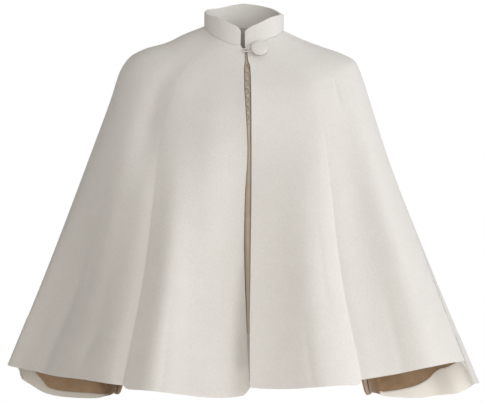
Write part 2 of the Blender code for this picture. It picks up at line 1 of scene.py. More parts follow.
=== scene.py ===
"""The felted-wool cape dressed for a picture: fine cloth shells, their finishes, the light and the camera.

Metres, -Y the front, +Z up. Left (-X) and right (+X) are as seen from the front. Lengths in the tables are
millimetres. A place on the cloth has a side, an around and a down. Around is 0 at the centre front, 0.5 at
the side seam, 1 over the arm, 1.5 at the side seam again and 2 at the centre back. Down is 0 at the neck and
1 near the hem.
"""

import math

import bpy
import numpy as np
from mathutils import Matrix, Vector


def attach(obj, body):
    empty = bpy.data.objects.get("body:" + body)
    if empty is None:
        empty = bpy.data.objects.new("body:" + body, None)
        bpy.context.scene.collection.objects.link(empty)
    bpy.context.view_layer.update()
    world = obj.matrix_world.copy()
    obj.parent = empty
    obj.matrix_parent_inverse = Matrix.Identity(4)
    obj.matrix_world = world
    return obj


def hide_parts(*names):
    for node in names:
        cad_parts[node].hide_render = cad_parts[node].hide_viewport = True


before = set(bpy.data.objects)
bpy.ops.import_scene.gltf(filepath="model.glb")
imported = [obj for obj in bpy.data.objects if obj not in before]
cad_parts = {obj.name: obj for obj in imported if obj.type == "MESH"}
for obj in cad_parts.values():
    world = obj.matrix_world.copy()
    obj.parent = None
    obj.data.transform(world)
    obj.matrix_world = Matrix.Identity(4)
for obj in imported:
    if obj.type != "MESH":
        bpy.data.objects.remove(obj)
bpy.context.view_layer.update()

MM = 0.001
LEFT = -1
RIGHT = 1

WOOL = 3.0 * MM
COLLAR_WALL = 4.0 * MM
LINING_WALL = 1.0 * MM
FACING_WALL = 2.0 * MM
GAP = 0.3 * MM
LAYER_GAP = 0.8 * MM

SIDE = 0.5

# The level sections: 2 is an ellipse and more is squarer, reached at ROUNDNESS_FULL down.
ROUNDNESS_TOP = 2.2
ROUNDNESS_LEFT = 2.6
ROUNDNESS_RIGHT = 3.0
ROUNDNESS_FULL = 0.55

# How straight the left sleeve's front runs from the side seam to the arm, and where this begins and is full.
FLAT_LEFT = 0.85
FLAT_SOFT = 0.35
FLAT_START = 0.35
FLAT_FULL = 0.90

# The side seams: how deep the front dips there, how wide each cloth bends, and where they begin and are full.
SEAM_DIP = 1.0 * MM
FRONT_SEAM_BODY = 14.0 * MM
FRONT_SEAM_SLEEVE = 12.0 * MM
BACK_SEAM_BODY = 23.0 * MM
BACK_SEAM_SLEEVE = 19.0 * MM
SLEEVE_BACK_SHARE = 0.80
SEAM_SHARE = 0.004
UNDERARM_START = 0.27
UNDERARM_END = 0.51

# One row for each ring of the garment: where it passes the arm, the centre lines and the side seams.
RING_COLUMNS = (
    "down", "arm_left_x", "arm_left_z", "arm_right_x", "arm_right_z", "front_y", "front_z", "side_front_z",
    "side_back_z", "back_y", "back_z", "side_left_x", "side_right_x",
)
RINGS = (
    (0.00, 70, 8, 70, 0, 64, -30, -16, 7, 62, 12, 48, 48),
    (0.05, 103, -5, 102, -15, 72, -56, -38, -12, 79, -16, 70, 70),
    (0.10, 136, -21, 136, -28, 80, -83, -58, -34, 92, -46, 90, 90),
    (0.15, 174, -32, 170, -40, 90, -111, -78, -57, 101, -78, 106, 105),
    (0.19, 200, -46, 195, -54, 98, -134, -96, -78, 106, -104, 117, 115),
    (0.23, 217, -70, 207, -81, 105, -157, -117, -102, 110, -130, 126, 123),
    (0.30, 233, -118, 222, -128, 115, -197, -158, -150, 114, -175, 137, 133),
    (0.45, 271, -221, 254, -229, 127, -285, -250, -250, 118, -274, 148, 144),
    (0.70, 337, -393, 320, -398, 134, -433, -413, -413, 126, -438, 168, 163),
    (1.00, 421, -599, 404, -600, 142, -610, -604, -604, 138, -635, 203, 199),
    (1.10, 450, -668, 432, -668, 145, -669, -668, -668, 142, -701, 215, 211),
)

# The hem's height on the fronts, from the centre front to the seam over the arm.
FRONT_HEM = (
    (0.000, -615, -612),
    (0.004, -622, -612.5),
    (0.009, -627, -613),
    (0.020, -629, -613.5),
    (0.06, -630.5, -614),
    (0.10, -629.5, -613.5),
    (0.22, -622.5, -610),
    (0.38, -615, -607),
    (0.47, -614, -608),
    (0.50, -608, -600),
    (0.58, -603, -590),
    (0.67, -600, -580),
    (0.80, -592, -574),
    (1.05, -586, -574),
)

# The hem's height on the back, from the seam over the arm to the centre back. It meets the front's at 1.5.
BACK_HEM = (
    (0.87, -588, -612),
    (1.05, -588, -621),
    (1.15, -600, -634),
    (1.19, -619, -640),
    (1.24, -632, -646),
    (1.30, -648, -653),
    (1.36, -656, -658),
    (1.43, -660, -657),
    (1.46, -655, -650),
    (1.48, -637, -637),
    (1.497, -620, -622),
    (1.50, -608, -600),
    (1.52, -612, -609),
    (1.55, -624, -620),
    (1.62, -631, -631),
    (2.00, -632, -632),
)

# Where the seam over the arm runs: down, then around on the left and on the right.
OVER_ARM = (
    (0.00, 1.00, 1.00),
    (0.20, 1.00, 0.98),
    (0.60, 1.02, 0.92),
    (1.00, 1.05, 0.87),
    (1.10, 1.05, 0.87),
)

# The front edges: down, the place across of the left and the right one, and how far each sinks back.
FRONT_EDGES = (
    (0.000, -6.0, 1.2, 0.0, 0.0),
    (0.024, 1.0, 5.6, 0.0, 0.0),
    (0.050, 1.2, 7.0, 0.0, 0.0),
    (0.075, -0.4, 10.6, 0.0, 0.0),
    (0.130, 0.0, 12.0, 0.0, 0.0),
    (0.240, 3.8, 12.6, 1.0, 0.0),
    (0.325, 5.8, 12.6, 5.0, 2.0),
    (0.470, 1.2, 12.4, 13.0, 6.0),
    (0.585, 0.0, 11.4, 17.0, 8.0),
    (0.700, 1.4, 10.6, 20.0, 9.0),
    (0.810, 4.0, 9.6, 23.0, 9.0),
    (0.890, 6.0, 9.6, 25.0, 9.0),
    (0.950, 8.6, 9.9, 27.0, 9.0),
    (1.000, 10.1, 10.3, 29.0, 9.0),
    (1.100, 10.8, 10.8, 32.0, 9.0),
)
SINK_WIDTH = 80.0 * MM

# The fronts' fall away from the opening over the chest.
KEEL = 20.0 * MM
KEEL_WIDTH = 100.0 * MM
KEEL_FULL = 0.16
KEEL_FADE = 0.16
KEEL_END = 0.40

# Soft folds: side, around at the hem and at their start, width, height at the hem (troughs below 0), start.
FOLDS = (
    (LEFT, 0.35, 0.33, 0.11, 18.0, 0.24),
    (LEFT, 0.58, 0.66, 0.07, 6.0, 0.20),
    (LEFT, 0.80, 0.76, 0.12, -10.0, 0.26),
    (LEFT, 1.22, 1.20, 0.06, 9.0, 0.40),
    (LEFT, 1.68, 1.66, 0.05, 11.0, 0.35),
    (LEFT, 1.84, 1.82, 0.05, -12.0, 0.42),
    (RIGHT, 0.25, 0.27, 0.13, 9.0, 0.26),
    (RIGHT, 0.54, 0.60, 0.10, -12.0, 0.08),
    (RIGHT, 0.68, 0.72, 0.07, 9.0, 0.20),
    (RIGHT, 1.18, 1.16, 0.06, -8.0, 0.46),
    (RIGHT, 1.30, 1.29, 0.05, 8.0, 0.42),
    (RIGHT, 1.66, 1.68, 0.05, 12.0, 0.32),
    (RIGHT, 1.82, 1.84, 0.05, -11.0, 0.45),
)
FOLD_FULL = 0.55
FOLD_DRIFT_END = 1.2

# The collar: around, then its height above the neck seam on the left and on the right.
COLLAR = (
    (0.00, 25.0, 24.0),
    (0.05, 31.0, 29.0),
    (0.14, 34.0, 32.5),
    (0.50, 36.0, 35.5),
    (0.75, 28.0, 32.0),
    (1.00, 25.0, 28.0),
    (1.20, 32.0, 31.0),
    (1.50, 37.5, 38.0),
    (2.00, 42.0, 42.0),
)
COLLAR_LEAN = 0.035
COLLAR_CORNER_END = 0.25
COLLAR_CORNER_COLUMNS = 22
COLLAR_COLUMNS = 90
COLLAR_ROWS = 14

# How finely the cloth is read and divided: evenly along one ring, where a bend counts as a length of its own.
REFERENCE_RING = 0.85
LAST_RING = 1.1
HUNG_POWER = 6
SLOPE_STEP = 1e-3
FINE_STEPS = 800
CLOTH_CELL = 5.0 * MM
BACK_CELL = 6.0 * MM
BEND_RADIUS = 12.0 * MM
ROW_BEND_RADIUS = 60.0 * MM
SEAM_COLUMNS = (-0.010, -0.0065, -0.004, -0.002, 0.002, 0.004, 0.0065, 0.010)
SEAM_CLEAR = 0.002

# Finer creases: side, around and down at the start and at the end, width, height (troughs below 0).
CREASES = (
    (LEFT, 0.500, 0.38, 0.500, 1.10, 0.020, -1.5),
    (LEFT, 0.570, 0.86, 0.616, 0.98, 0.018, -2.2),
    (LEFT, 0.700, 0.64, 0.738, 1.10, 0.045, -4.5),
    (LEFT, 0.150, 0.04, 0.165, 0.80, 0.200, 9.5),
    (LEFT, 0.570, 0.08, 0.555, 0.52, 0.090, -6.5),
    (LEFT, 0.650, 0.62, 0.672, 0.84, 0.022, -1.2),
    (LEFT, 0.300, 0.72, 0.310, 1.10, 0.024, -1.4),
    (LEFT, 1.300, 0.55, 1.330, 0.85, 0.020, -1.8),
    (LEFT, 1.560, 0.60, 1.585, 1.10, 0.016, -2.0),
    (LEFT, 1.750, 0.30, 1.730, 0.62, 0.024, -1.5),
    (LEFT, 1.930, 0.66, 1.945, 1.10, 0.020, -1.6),
    (RIGHT, 0.500, 0.36, 0.500, 1.10, 0.018, -1.3),
    (RIGHT, 0.636, 0.19, 0.616, 0.30, 0.016, -1.5),
    (RIGHT, 0.722, 0.22, 0.714, 0.31, 0.012, -1.2),
    (RIGHT, 0.200, 0.78, 0.206, 1.10, 0.022, -1.1),
    (RIGHT, 0.360, 0.52, 0.350, 0.86, 0.024, -1.1),
    (RIGHT, 0.610, 0.70, 0.600, 1.10, 0.018, -1.2),
    (RIGHT, 1.220, 0.60, 1.240, 0.92, 0.020, -1.6),
    (RIGHT, 1.620, 0.45, 1.600, 0.95, 0.018, -1.9),
    (RIGHT, 1.900, 0.20, 1.880, 0.46, 0.026, -1.4),
)
CREASE_ENDS = 0.45
CREASE_WANDER = 0.003
CREASE_WAVES = 1.3
CREASE_PHASE = 40

# The stitched lines: a groove along each side seam, from its top down, and the step of the deep hem.
SEAM_GROOVE = 0.45 * MM
SEAM_GROOVE_WIDTH = 0.0045
SEAM_SHOWS_FROM = 0.42
SEAM_SHOWS_FULL = 0.75
TURN_UP = 88.0 * MM
TURN_UP_STEP = 0.7 * MM
TURN_UP_SOFT = 5.0 * MM

# From the neck to a hem, one step down is about this long.
SPOKE = 700.0 * MM

# Inside a sleeve: where the lining and the facing start and end. Beside the side seam the back's wool is
# given painted shade in the lining's dark colour, full up to one height above the hem and gone at two.
LINING_TOP = 0.56
LINING_ROWS = 46
FACING_RISE = 1.0 * MM
FACING_ROWS = 9
HEM_STEP = 0.06
LINED_FROM = 0.512
FACED_TO = 1.461
LINED_TO = 1.491
PAINTED_SHADE_EDGE = (1.448, 1.508)
PAINTED_SHADE_EDGE_SOFT = 0.006
PAINTED_SHADE_EDGE_HEIGHT = 20.0 * MM

# The facing inside a sleeve's hem: around, then its width on the left and on the right.
FACING_WIDTHS = (
    (0.50, 6.0, 6.0),
    (0.60, 14.0, 24.0),
    (1.00, 24.0, 50.0),
    (1.22, 25.0, 50.0),
    (1.27, 19.0, 44.0),
    (1.30, 12.0, 35.0),
    (1.36, 12.0, 23.0),
    (1.40, 12.0, 16.0),
    (1.45, 6.0, 7.0),
    (1.465, 1.5, 1.5),
    (1.49, 1.0, 1.0),
)

# The strip behind the opening. Between the fronts it has a soft roll, and painted shade darkens it towards
# its sides.
UNDERLAP_TOP = 0.012
UNDERLAP_END = 0.85
UNDERLAP_WALL = 2.0 * MM
UNDERLAP_REACH = 19.0 * MM
UNDERLAP_ROWS = 120
UNDERLAP_SIDE_COLUMNS = 7
UNDERLAP_MIDDLE_COLUMNS = 9
UNDERLAP_ROLL = 1.6 * MM
UNDERLAP_PAINTED_SHADE_POWER = 3

BUTTON_DOWN = 0.021
BUTTON_X = 26.0 * MM
BUTTON_RADIUS = 14.5 * MM
BUTTON_HEIGHT = 5.0 * MM
BUTTON_RIM = 2.0 * MM
BUTTON_UNDERSIDE = 13.5 * MM
BUTTON_SHANK = 4.2 * MM
SHANK_RADIUS = 2.8 * MM
SHANK_FLARE = 1.4
SHANK_NECK = 0.8
DOME_POWER = 0.8
DOME_RINGS = 20
BUTTON_SIDES = 72
RIM_UNDERCUT = 0.995

# The gathers of the button's cover round its rim.
PUCKER_DEPTH = 0.012
PUCKERS = 14
PUCKER_UNEVEN = 0.4
PUCKER_UNEVEN_WAVES = 3
PUCKER_FADE = 8

LOOP_RADIUS = 1.4 * MM
LOOP_TURN = 250.0
LOOP_STEPS = 8
LOOP_RING = 4.5 * MM
LOOP_LIFT = 0.6 * MM
LOOP_ARCH = 1.1 * MM
LOOP_FOOT = 0.02
LOOP_SPREAD = 2.2 * MM

LOOP_CORD_RADIUS = 1.3 * MM
LOOP_CORD_FROM = 0.062
LOOP_CORD_TO = 0.25
LOOP_CORD_WAVES = 7
LOOP_CORD_POINTS = 16

# The slip stitches that hold a facing to the lining: how far below its upper edge, pitch and length.
STITCH_FROM = 1.2 * MM
STITCH_TO = 1.9 * MM
STITCH_PITCH = 4.0 * MM
STITCH_LENGTH = 2.4 * MM

# How far edges are rounded: the wool's, its seams as a share of that, and others as a share of their walls.
EDGE_ROUND = 1.2 * MM
SEAM_ROUND = 0.12
EDGE_SEGMENTS = 3
WALL_ROUND = 0.4
UNDERLAP_ROUND = 0.3

# Blender's diagonal wave bands repeat after this length at a scale of 1.
WAVE_REPEAT = 2 * math.pi / 10

WOOL_LIGHT = (0.620, 0.606, 0.594)
WOOL_DARK = (0.563, 0.549, 0.536)
# The two facings are one cream cloth; the right one's colours are painted much lighter than the left's, as
# painted light.
LEFT_FACING_LIGHT = (0.62, 0.59, 0.55)
LEFT_FACING_DARK = (0.56, 0.53, 0.49)
RIGHT_FACING_PAINTED_LIT_LIGHT = (0.88, 0.86, 0.83)
RIGHT_FACING_PAINTED_LIT_DARK = (0.82, 0.80, 0.77)
THREAD = (0.42, 0.36, 0.29)
LINING_LIGHT = (0.40, 0.275, 0.17)
LINING_DARK = (0.25, 0.16, 0.095)
TAUPE_LIGHT = (0.50, 0.43, 0.37)
TAUPE_DARK = (0.40, 0.335, 0.28)
# The underlap's dark tone is scaled down by this for the painted shade at its sides.
TAUPE_PAINTED_SHADE = 0.45
CORD_LIGHT = (0.40, 0.34, 0.29)
CORD_DARK = (0.31, 0.255, 0.21)

# The world is white up to this height over the horizon, as the photograph's background, and dimmer above.
WHITE_UP_TO = 0.13
WHITE_FADE = 0.06
SKY = (0.15, 0.13, 0.11)
FLOOR = (0.86, 0.82, 0.75)
FLOOR_RADIUS = 4.5
FLOOR_HEIGHT = -1.45
FLOOR_SIDES = 96

# Soft lamps, most of them to the right: name, place, what it is aimed at, size, watts and colour.
MIDDLE = (0.0, 0.0, -0.3)
RIGHT_HEM = (0.40, 0.05, -0.63)
LAMPS = (
    ("right_front", (2.9, -1.8, 0.6), MIDDLE, 1.5, 42.0, (0.96, 0.982, 1.0)),
    ("right_side", (3.2, -0.6, 0.5), MIDDLE, 1.5, 26.0, (0.96, 0.982, 1.0)),
    ("centre", (0.0, -3.5, 0.4), MIDDLE, 1.5, 44.0, (1.0, 0.95, 0.85)),
    ("top", (0.3, -0.6, 2.6), MIDDLE, 1.5, 19.0, (1.0, 1.0, 1.0)),
    ("low_right", (0.48, -0.42, -1.2), RIGHT_HEM, 0.2, 2.4, (1.0, 0.99, 0.97)),
)

# The camera stands where the photograph was taken from: level, in front, a long lens.
CAMERA_DISTANCE = 3.0
CAMERA_HEIGHT = -0.27
SENSOR = 36.0
FOCAL_PIXELS = 1704.5
IMAGE_WIDTH = 484
AIM_COLUMN = 2.0
AIM_ROW = -16.6
FARTHEST = 50


def slopes_at(places, values):
    """The slope at each row of a table, level where its values turn back."""
    steps = np.diff(places)
    rises = np.diff(values) / steps
    slopes = [rises[0]]
    for i in range(1, len(rises)):
        before = rises[i - 1]
        after = rises[i]
        if before * after <= 0:
            slopes.append(0.0)
            continue
        near = 2 * steps[i] + steps[i - 1]
        far = steps[i] + 2 * steps[i - 1]
        slopes.append((near + far) / (near / before + far / after))
    slopes.append(rises[-1])
    return np.array(slopes)


def curve_through(places, values, x):
    """A smooth curve through the values that doesn't overshoot them, read at x."""
    places = np.asarray(places, float)
    values = np.asarray(values, float)
    slopes = slopes_at(places, values)
    x = np.clip(x, places[0], places[-1])
    row = np.clip(np.searchsorted(places, x, side="right") - 1, 0, len(places) - 2)
    step = places[row + 1] - places[row]
    share = (x - places[row]) / step
    start = values[row] * (1 + 2 * share) * (1 - share) ** 2 + slopes[row] * step * share * (1 - share) ** 2
    end = values[row + 1] * (3 - 2 * share) * share**2 + slopes[row + 1] * step * share**2 * (share - 1)
    return start + end


def for_side(side, left, right):
    return left if side == LEFT else right


def column(table, index, x):
    """One column of a table whose first column is its place, in metres."""
    rows = np.asarray(table, float)
    return curve_through(rows[:, 0], rows[:, index], x) * MM


def ring(name, down):
    return column(RINGS, RING_COLUMNS.index(name), down)


def ease(share):
    share = np.clip(share, 0, 1)
    return share * share * (3 - 2 * share)


def three_way(share, first, middle, last):
    """A smooth run from first over middle, at half, to last, level at both ends."""
    slope = last - first
    half = 2 * share
    early = first * (1 + 2 * half) * (1 - half) ** 2 + middle * (3 - 2 * half) * half**2
    early = early + slope * 0.5 * half**2 * (half - 1)
    rest = half - 1
    late = middle * (1 + 2 * rest) * (1 - rest) ** 2 + last * (3 - 2 * rest) * rest**2
    late = late + slope * 0.5 * rest * (1 - rest) ** 2
    return np.where(share < 0.5, early, late)


def ring_height(side, around, down):
    arm = ring(for_side(side, "arm_left_z", "arm_right_z"), down)
    front = three_way(np.clip(around, 0, 1), ring("front_z", down), ring("side_front_z", down), arm)
    back = three_way(np.clip(2 - around, 0, 1), ring("back_z", down), ring("side_back_z", down), arm)
    return np.where(around <= 1, front, back)


def arm_place(side, down):
    return ring(for_side(side, "arm_left_x", "arm_right_x"), down)


def side_place(side, down):
    return ring(for_side(side, "side_left_x", "side_right_x"), down)


def front_edge_place(side, down):
    return column(FRONT_EDGES, for_side(side, 1, 2), down) * side


def seam_turn(side, edge, down, roundness):
    """The angle round the ring at which the side seam lies, out of a quarter turn over the arm."""
    share = (side_place(side, down) - edge) / (arm_place(side, down) - edge)
    return np.arcsin(share ** (roundness / 2))


def underarm(down):
    """0 where front and back are apart, 1 where the side seam joins them."""
    return ease((down - UNDERARM_START) / (UNDERARM_END - UNDERARM_START))


def front_roundness(side, down):
    """How square a front's section is, more so lower down."""
    lower = for_side(side, ROUNDNESS_LEFT, ROUNDNESS_RIGHT)
    return ROUNDNESS_TOP + (lower - ROUNDNESS_TOP) * ease(down / ROUNDNESS_FULL)


def keel(down, from_edge):
    """How far the front stands forward beside its opening, over the chest."""
    share = ease(down / KEEL_FULL) * (1 - ease((down - KEEL_FADE) / (KEEL_END - KEEL_FADE)))
    return KEEL * share * np.exp(-from_edge / KEEL_WIDTH)


def edge_sink(side, down, from_edge):
    """How far the front falls back beside its opening, lower down."""
    return column(FRONT_EDGES, for_side(side, 3, 4), down) * np.exp(-((from_edge / SINK_WIDTH) ** 2))


def front_at_seam(side, down):
    """How far forward the front lies at the side seam, its folds and creases included."""
    roundness = front_roundness(side, down)
    edge = front_edge_place(side, down)
    turn = seam_turn(side, edge, down, roundness)
    plain = SEAM_DIP - ring("front_y", down) * np.cos(turn) ** (2 / roundness)
    from_edge = side_place(side, down) - edge
    folded = fold_height(side, SIDE, down) + crease_height(side, SIDE, down)
    return plain + edge_sink(side, down, from_edge) - keel(down, from_edge) - folded


def unfolded(side, around, down):
    """The garment surface with its side seams but without its folds, and how near the seam each place is."""
    front = around <= 1
    quarter = np.where(front, around, 2 - around)
    roundness = np.where(front, front_roundness(side, down), ROUNDNESS_TOP)
    arm_x = arm_place(side, down)
    seam_x = side_place(side, down)
    edge = np.where(front, front_edge_place(side, down), 0)
    at_seam = seam_turn(side, edge, down, roundness)
    inner = at_seam * quarter / SIDE
    outer = at_seam + (math.pi / 2 - at_seam) * (quarter - SIDE) / (1 - SIDE)
    turn = np.clip(np.where(quarter < SIDE, inner, outer), 0, math.pi / 2)
    x = edge + (arm_x - edge) * np.sin(turn) ** (2 / roundness)
    share = np.clip(np.cos(turn), 0, 1) ** (2 / roundness)
    from_seam = x - seam_x
    joined = underarm(down)
    out = from_seam / (arm_x - seam_x)
    straight = np.cos(at_seam) ** (2 / roundness) * (1 - out)
    flat = np.where(front, for_side(side, FLAT_LEFT, 0), 0) * ease(out / FLAT_SOFT)
    flat = flat * ease((down - FLAT_START) / (FLAT_FULL - FLAT_START))
    share = share + (straight - share) * flat

    wide = np.where(from_seam < 0, FRONT_SEAM_BODY, FRONT_SEAM_SLEEVE)
    front_near = np.exp(-((from_seam / wide) ** 2))
    front_y = -ring("front_y", down) * share + SEAM_DIP * front_near * joined
    from_edge = x - edge
    front_y = front_y + edge_sink(side, down, from_edge) - keel(down, from_edge)

    meeting = front_at_seam(side, down) + 2 * WOOL + GAP
    sleeve = ease(out) * joined
    back_open = ring("back_y", down) * share * (1 - (1 - SLEEVE_BACK_SHARE) * sleeve)
    wide = np.where(from_seam < 0, BACK_SEAM_BODY, BACK_SEAM_SLEEVE)
    back_near = np.exp(-((from_seam / wide) ** 2))
    back_y = back_open + (meeting - back_open) * back_near * joined

    y = np.where(front, front_y, back_y)
    near = np.where(front, front_near, back_near) * joined
    points = np.stack(np.broadcast_arrays(side * x, y, ring_height(side, around, down)), axis=-1)
    return points, near


def normals_of(surface, side, around, down):
    """Outward unit normals, from the surface's own slopes."""
    ahead = surface(side, np.clip(around + SLOPE_STEP, 0, 2), down)
    across = ahead - surface(side, np.clip(around - SLOPE_STEP, 0, 2), down)
    below = surface(side, around, np.clip(down + SLOPE_STEP, 0, LAST_RING))
    along = below - surface(side, around, np.clip(down - SLOPE_STEP, 0, LAST_RING))
    normal = np.cross(along, across) * side
    return normal / np.linalg.norm(normal, axis=-1, keepdims=True)


def unfolded_points(side, around, down):
    return unfolded(side, around, down)[0]


def fold_height(side, around, down):
    total = np.zeros(np.broadcast(around, down).shape)
    for fold_side, at_hem, at_start, width, height, start in FOLDS:
        if fold_side != side:
            continue
        share = np.clip((down - start) / (1 - start), 0, FOLD_DRIFT_END)
        centre = at_start + (at_hem - at_start) * share
        grown = ease((down - start) / FOLD_FULL)
        total = total + height * MM * grown * np.exp(-(((around - centre) / width) ** 2))
    return total


def crease_height(side, around, down):
    total = np.zeros(np.broadcast(around, down).shape)
    for crease_side, from_around, from_down, to_around, to_down, width, height in CREASES:
        if crease_side != side:
            continue
        share = np.clip((down - from_down) / (to_down - from_down), 0, 1)
        wander = CREASE_WANDER * np.sin(CREASE_WAVES * 2 * math.pi * share + CREASE_PHASE * from_around)
        centre = from_around + (to_around - from_around) * share + wander * (share > 0)
        swell = ease(share / CREASE_ENDS)
        if to_down < 1:
            swell = swell * ease((1 - share) / CREASE_ENDS)
        total = total + height * MM * swell / (1 + ((around - centre) / width) ** 2) ** 2
    return total


def garment(side, around, down):
    """Points of the cape's outer face. At the side seam its folds and creases go straight forward."""
    around, down = np.broadcast_arrays(np.asarray(around, float), np.asarray(down, float))
    points, near = unfolded(side, around, down)
    near = near[..., None]
    forward = np.where((around <= 1)[..., None], (0.0, -1.0, 0.0), 0.0)
    direction = normals_of(unfolded_points, side, around, down) * (1 - near) + forward * near
    folded = fold_height(side, around, down) + crease_height(side, around, down)
    return points + folded[..., None] * direction


def over_arm(side, down):
    rows = np.asarray(OVER_ARM, float)
    return curve_through(rows[:, 0], rows[:, for_side(side, 1, 2)], down)


def hem_down(side, around, table):
    """How far down the surface the hem's height is reached."""
    height = column(table, for_side(side, 1, 2), around)
    at_one = ring_height(side, around, np.ones_like(around))
    at_last = ring_height(side, around, np.full_like(around, LAST_RING))
    return 1 + (LAST_RING - 1) * (at_one - height) / (at_one - at_last)


def hung(down, hem):
    return down + (hem - 1) * down**HUNG_POWER


def length_and_bend(points, bend_radius):
    """The run along the points, where each bend counts as a length of its own."""
    steps = np.diff(points, axis=0)
    lengths = np.linalg.norm(steps, axis=1)
    headings = steps / lengths[:, None]
    lengths[1:] += bend_radius * np.arccos(np.clip(np.sum(headings[1:] * headings[:-1], axis=1), -1, 1))
    return np.concatenate([[0], np.cumsum(lengths)])


def evenly_spaced(side, start, end, spacing):
    fine = np.linspace(start, end, FINE_STEPS)
    run = length_and_bend(garment(side, fine, REFERENCE_RING), BEND_RADIUS)
    count = round(run[-1] / spacing) + 1
    return np.interp(np.linspace(0, run[-1], count), run, fine)


def rows_of(spacing):
    fine = np.linspace(0, 1, FINE_STEPS)
    run = length_and_bend(garment(RIGHT, 1.0, fine), ROW_BEND_RADIUS)
    return np.interp(np.linspace(0, run[-1], round(run[-1] / spacing) + 1), run, fine)


def with_seam(places, seam):
    """The places with a few more beside the seam, for its groove."""
    clear = places[np.abs(places - seam) > SEAM_COLUMNS[-1] + SEAM_CLEAR]
    return np.sort(np.concatenate([clear, [seam], seam + np.array(SEAM_COLUMNS)]))


def front_around(base, edge):
    """The columns of a front at one height, its sleeve part drawn out to the seam over the arm at edge."""
    return np.where(base > SIDE, SIDE + (base - SIDE) * (edge - SIDE) / (1 - SIDE), base)


def back_around(base, edge):
    turned = 2 - SIDE
    return np.where(base < turned, turned - (turned - base) * (turned - edge) / (1 - SIDE), base)


def stitched_lines(side, around, down, hem):
    """The height of the side seam's groove and of the step where the hem's turning ends."""
    quarter = np.where(around <= 1, around, 2 - around)
    shows = ease((down - SEAM_SHOWS_FROM) / (SEAM_SHOWS_FULL - SEAM_SHOWS_FROM))
    groove = -SEAM_GROOVE * np.exp(-(((quarter - SIDE) / SEAM_GROOVE_WIDTH) ** 2)) * shows
    above = (hem - down) * SPOKE
    step = TURN_UP_STEP * ease((TURN_UP - above) / TURN_UP_SOFT)
    return np.where(around <= 1, groove, 0) + step


class Cloth:
    """Outer points and normals of a stretch of the cape, and its grid at a depth under them."""

    def __init__(self, side, around, down, relief=0.0):
        self.side = side
        self.points = garment(side, around, down)
        self.normals = normals_of(garment, side, around, down)
        self.points = self.points + np.broadcast_to(relief, around.shape)[..., None] * self.normals

    def at(self, depth):
        grid = self.points - depth * self.normals
        return grid if self.side == RIGHT else grid[:, ::-1]


def metric_map(points):
    """Lengths across and down the cloth at each point of a grid, which its weave follows."""
    across = np.linalg.norm(np.diff(points, axis=1), axis=-1)
    across = np.concatenate([np.zeros((len(points), 1)), np.cumsum(across, axis=1)], axis=1)
    along = np.linalg.norm(np.diff(points, axis=0), axis=-1)
    along = np.concatenate([np.zeros((1, points.shape[1])), np.cumsum(along, axis=0)], axis=0)
    middle = points.shape[1] // 2
    return np.stack([across - across[:, middle:middle + 1], -along], axis=-1)


def shell(name, outer, inner, finish, rim, round_edges=(1, 1, 1, 1), marks=None):
    """A closed wall between two grids of points, with a metric map and rounded edges.

    The top, the bottom, the first column and the last one are rounded by their shares of the rim.
    """
    rows, columns = outer.shape[:2]
    index = np.arange(rows * columns).reshape(rows, columns)
    under = index + rows * columns
    quads = [
        np.stack([index[:-1, :-1], index[1:, :-1], index[1:, 1:], index[:-1, 1:]], axis=-1).reshape(-1, 4),
        np.stack([under[:-1, :-1], under[:-1, 1:], under[1:, 1:], under[1:, :-1]], axis=-1).reshape(-1, 4),
        np.stack([index[0, :-1], index[0, 1:], under[0, 1:], under[0, :-1]], axis=-1),
        np.stack([index[-1, 1:], index[-1, :-1], under[-1, :-1], under[-1, 1:]], axis=-1),
        np.stack([index[1:, 0], index[:-1, 0], under[:-1, 0], under[1:, 0]], axis=-1),
        np.stack([index[:-1, -1], index[1:, -1], under[1:, -1], under[:-1, -1]], axis=-1),
    ]
    faces = np.concatenate(quads)
    mesh = bpy.data.meshes.new(name)
    points = np.concatenate([outer.reshape(-1, 3), inner.reshape(-1, 3)])
    mesh.from_pydata(points.tolist(), [], faces.tolist())
    flat = np.tile(metric_map(outer).reshape(-1, 2), (2, 1))
    layer = mesh.uv_layers.new(name="cloth")
    layer.data.foreach_set("uv", flat[faces.reshape(-1)].astype(np.float32).reshape(-1))
    for mark, values in (marks or {}).items():
        both = np.tile(values.reshape(-1), 2)[faces.reshape(-1)]
        mesh.attributes.new(mark, "FLOAT", "CORNER").data.foreach_set("value", both)
    mesh.shade_smooth()
    mesh.materials.append(finish)
    edge_round = {}
    for grid in (index, under):
        for line, share in zip((grid[0], grid[-1], grid[:, 0], grid[:, -1]), round_edges):
            for first, second in zip(line[:-1], line[1:]):
                edge_round[(min(first, second), max(first, second))] = share
    for row, top in ((0, 0), (-1, 1)):
        for end, last in ((0, 2), (-1, 3)):
            corner = (index[row, end], under[row, end])
            edge_round[corner] = min(round_edges[top], round_edges[last])
    ends = np.empty(len(mesh.edges) * 2, dtype=np.int64)
    mesh.edges.foreach_get("vertices", ends)
    ends = np.sort(ends.reshape(-1, 2), axis=1)
    weights = [edge_round.get((first, second), 0.0) for first, second in ends.tolist()]
    mesh.attributes.new("bevel_weight_edge", "FLOAT", "EDGE").data.foreach_set("value", weights)
    thing = bpy.data.objects.new(name, mesh)
    bpy.context.scene.collection.objects.link(thing)
    edge = thing.modifiers.new("edge", "BEVEL")
    edge.width = rim
    edge.segments = EDGE_SEGMENTS
    edge.limit_method = "WEIGHT"
    edge.harden_normals = True
    return thing


def place(thing, node, slot):
    """The piece rides on the cape and stands for its node, which is hidden. The slot is not used."""
    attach(thing, "root")
    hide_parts(node)
    return thing


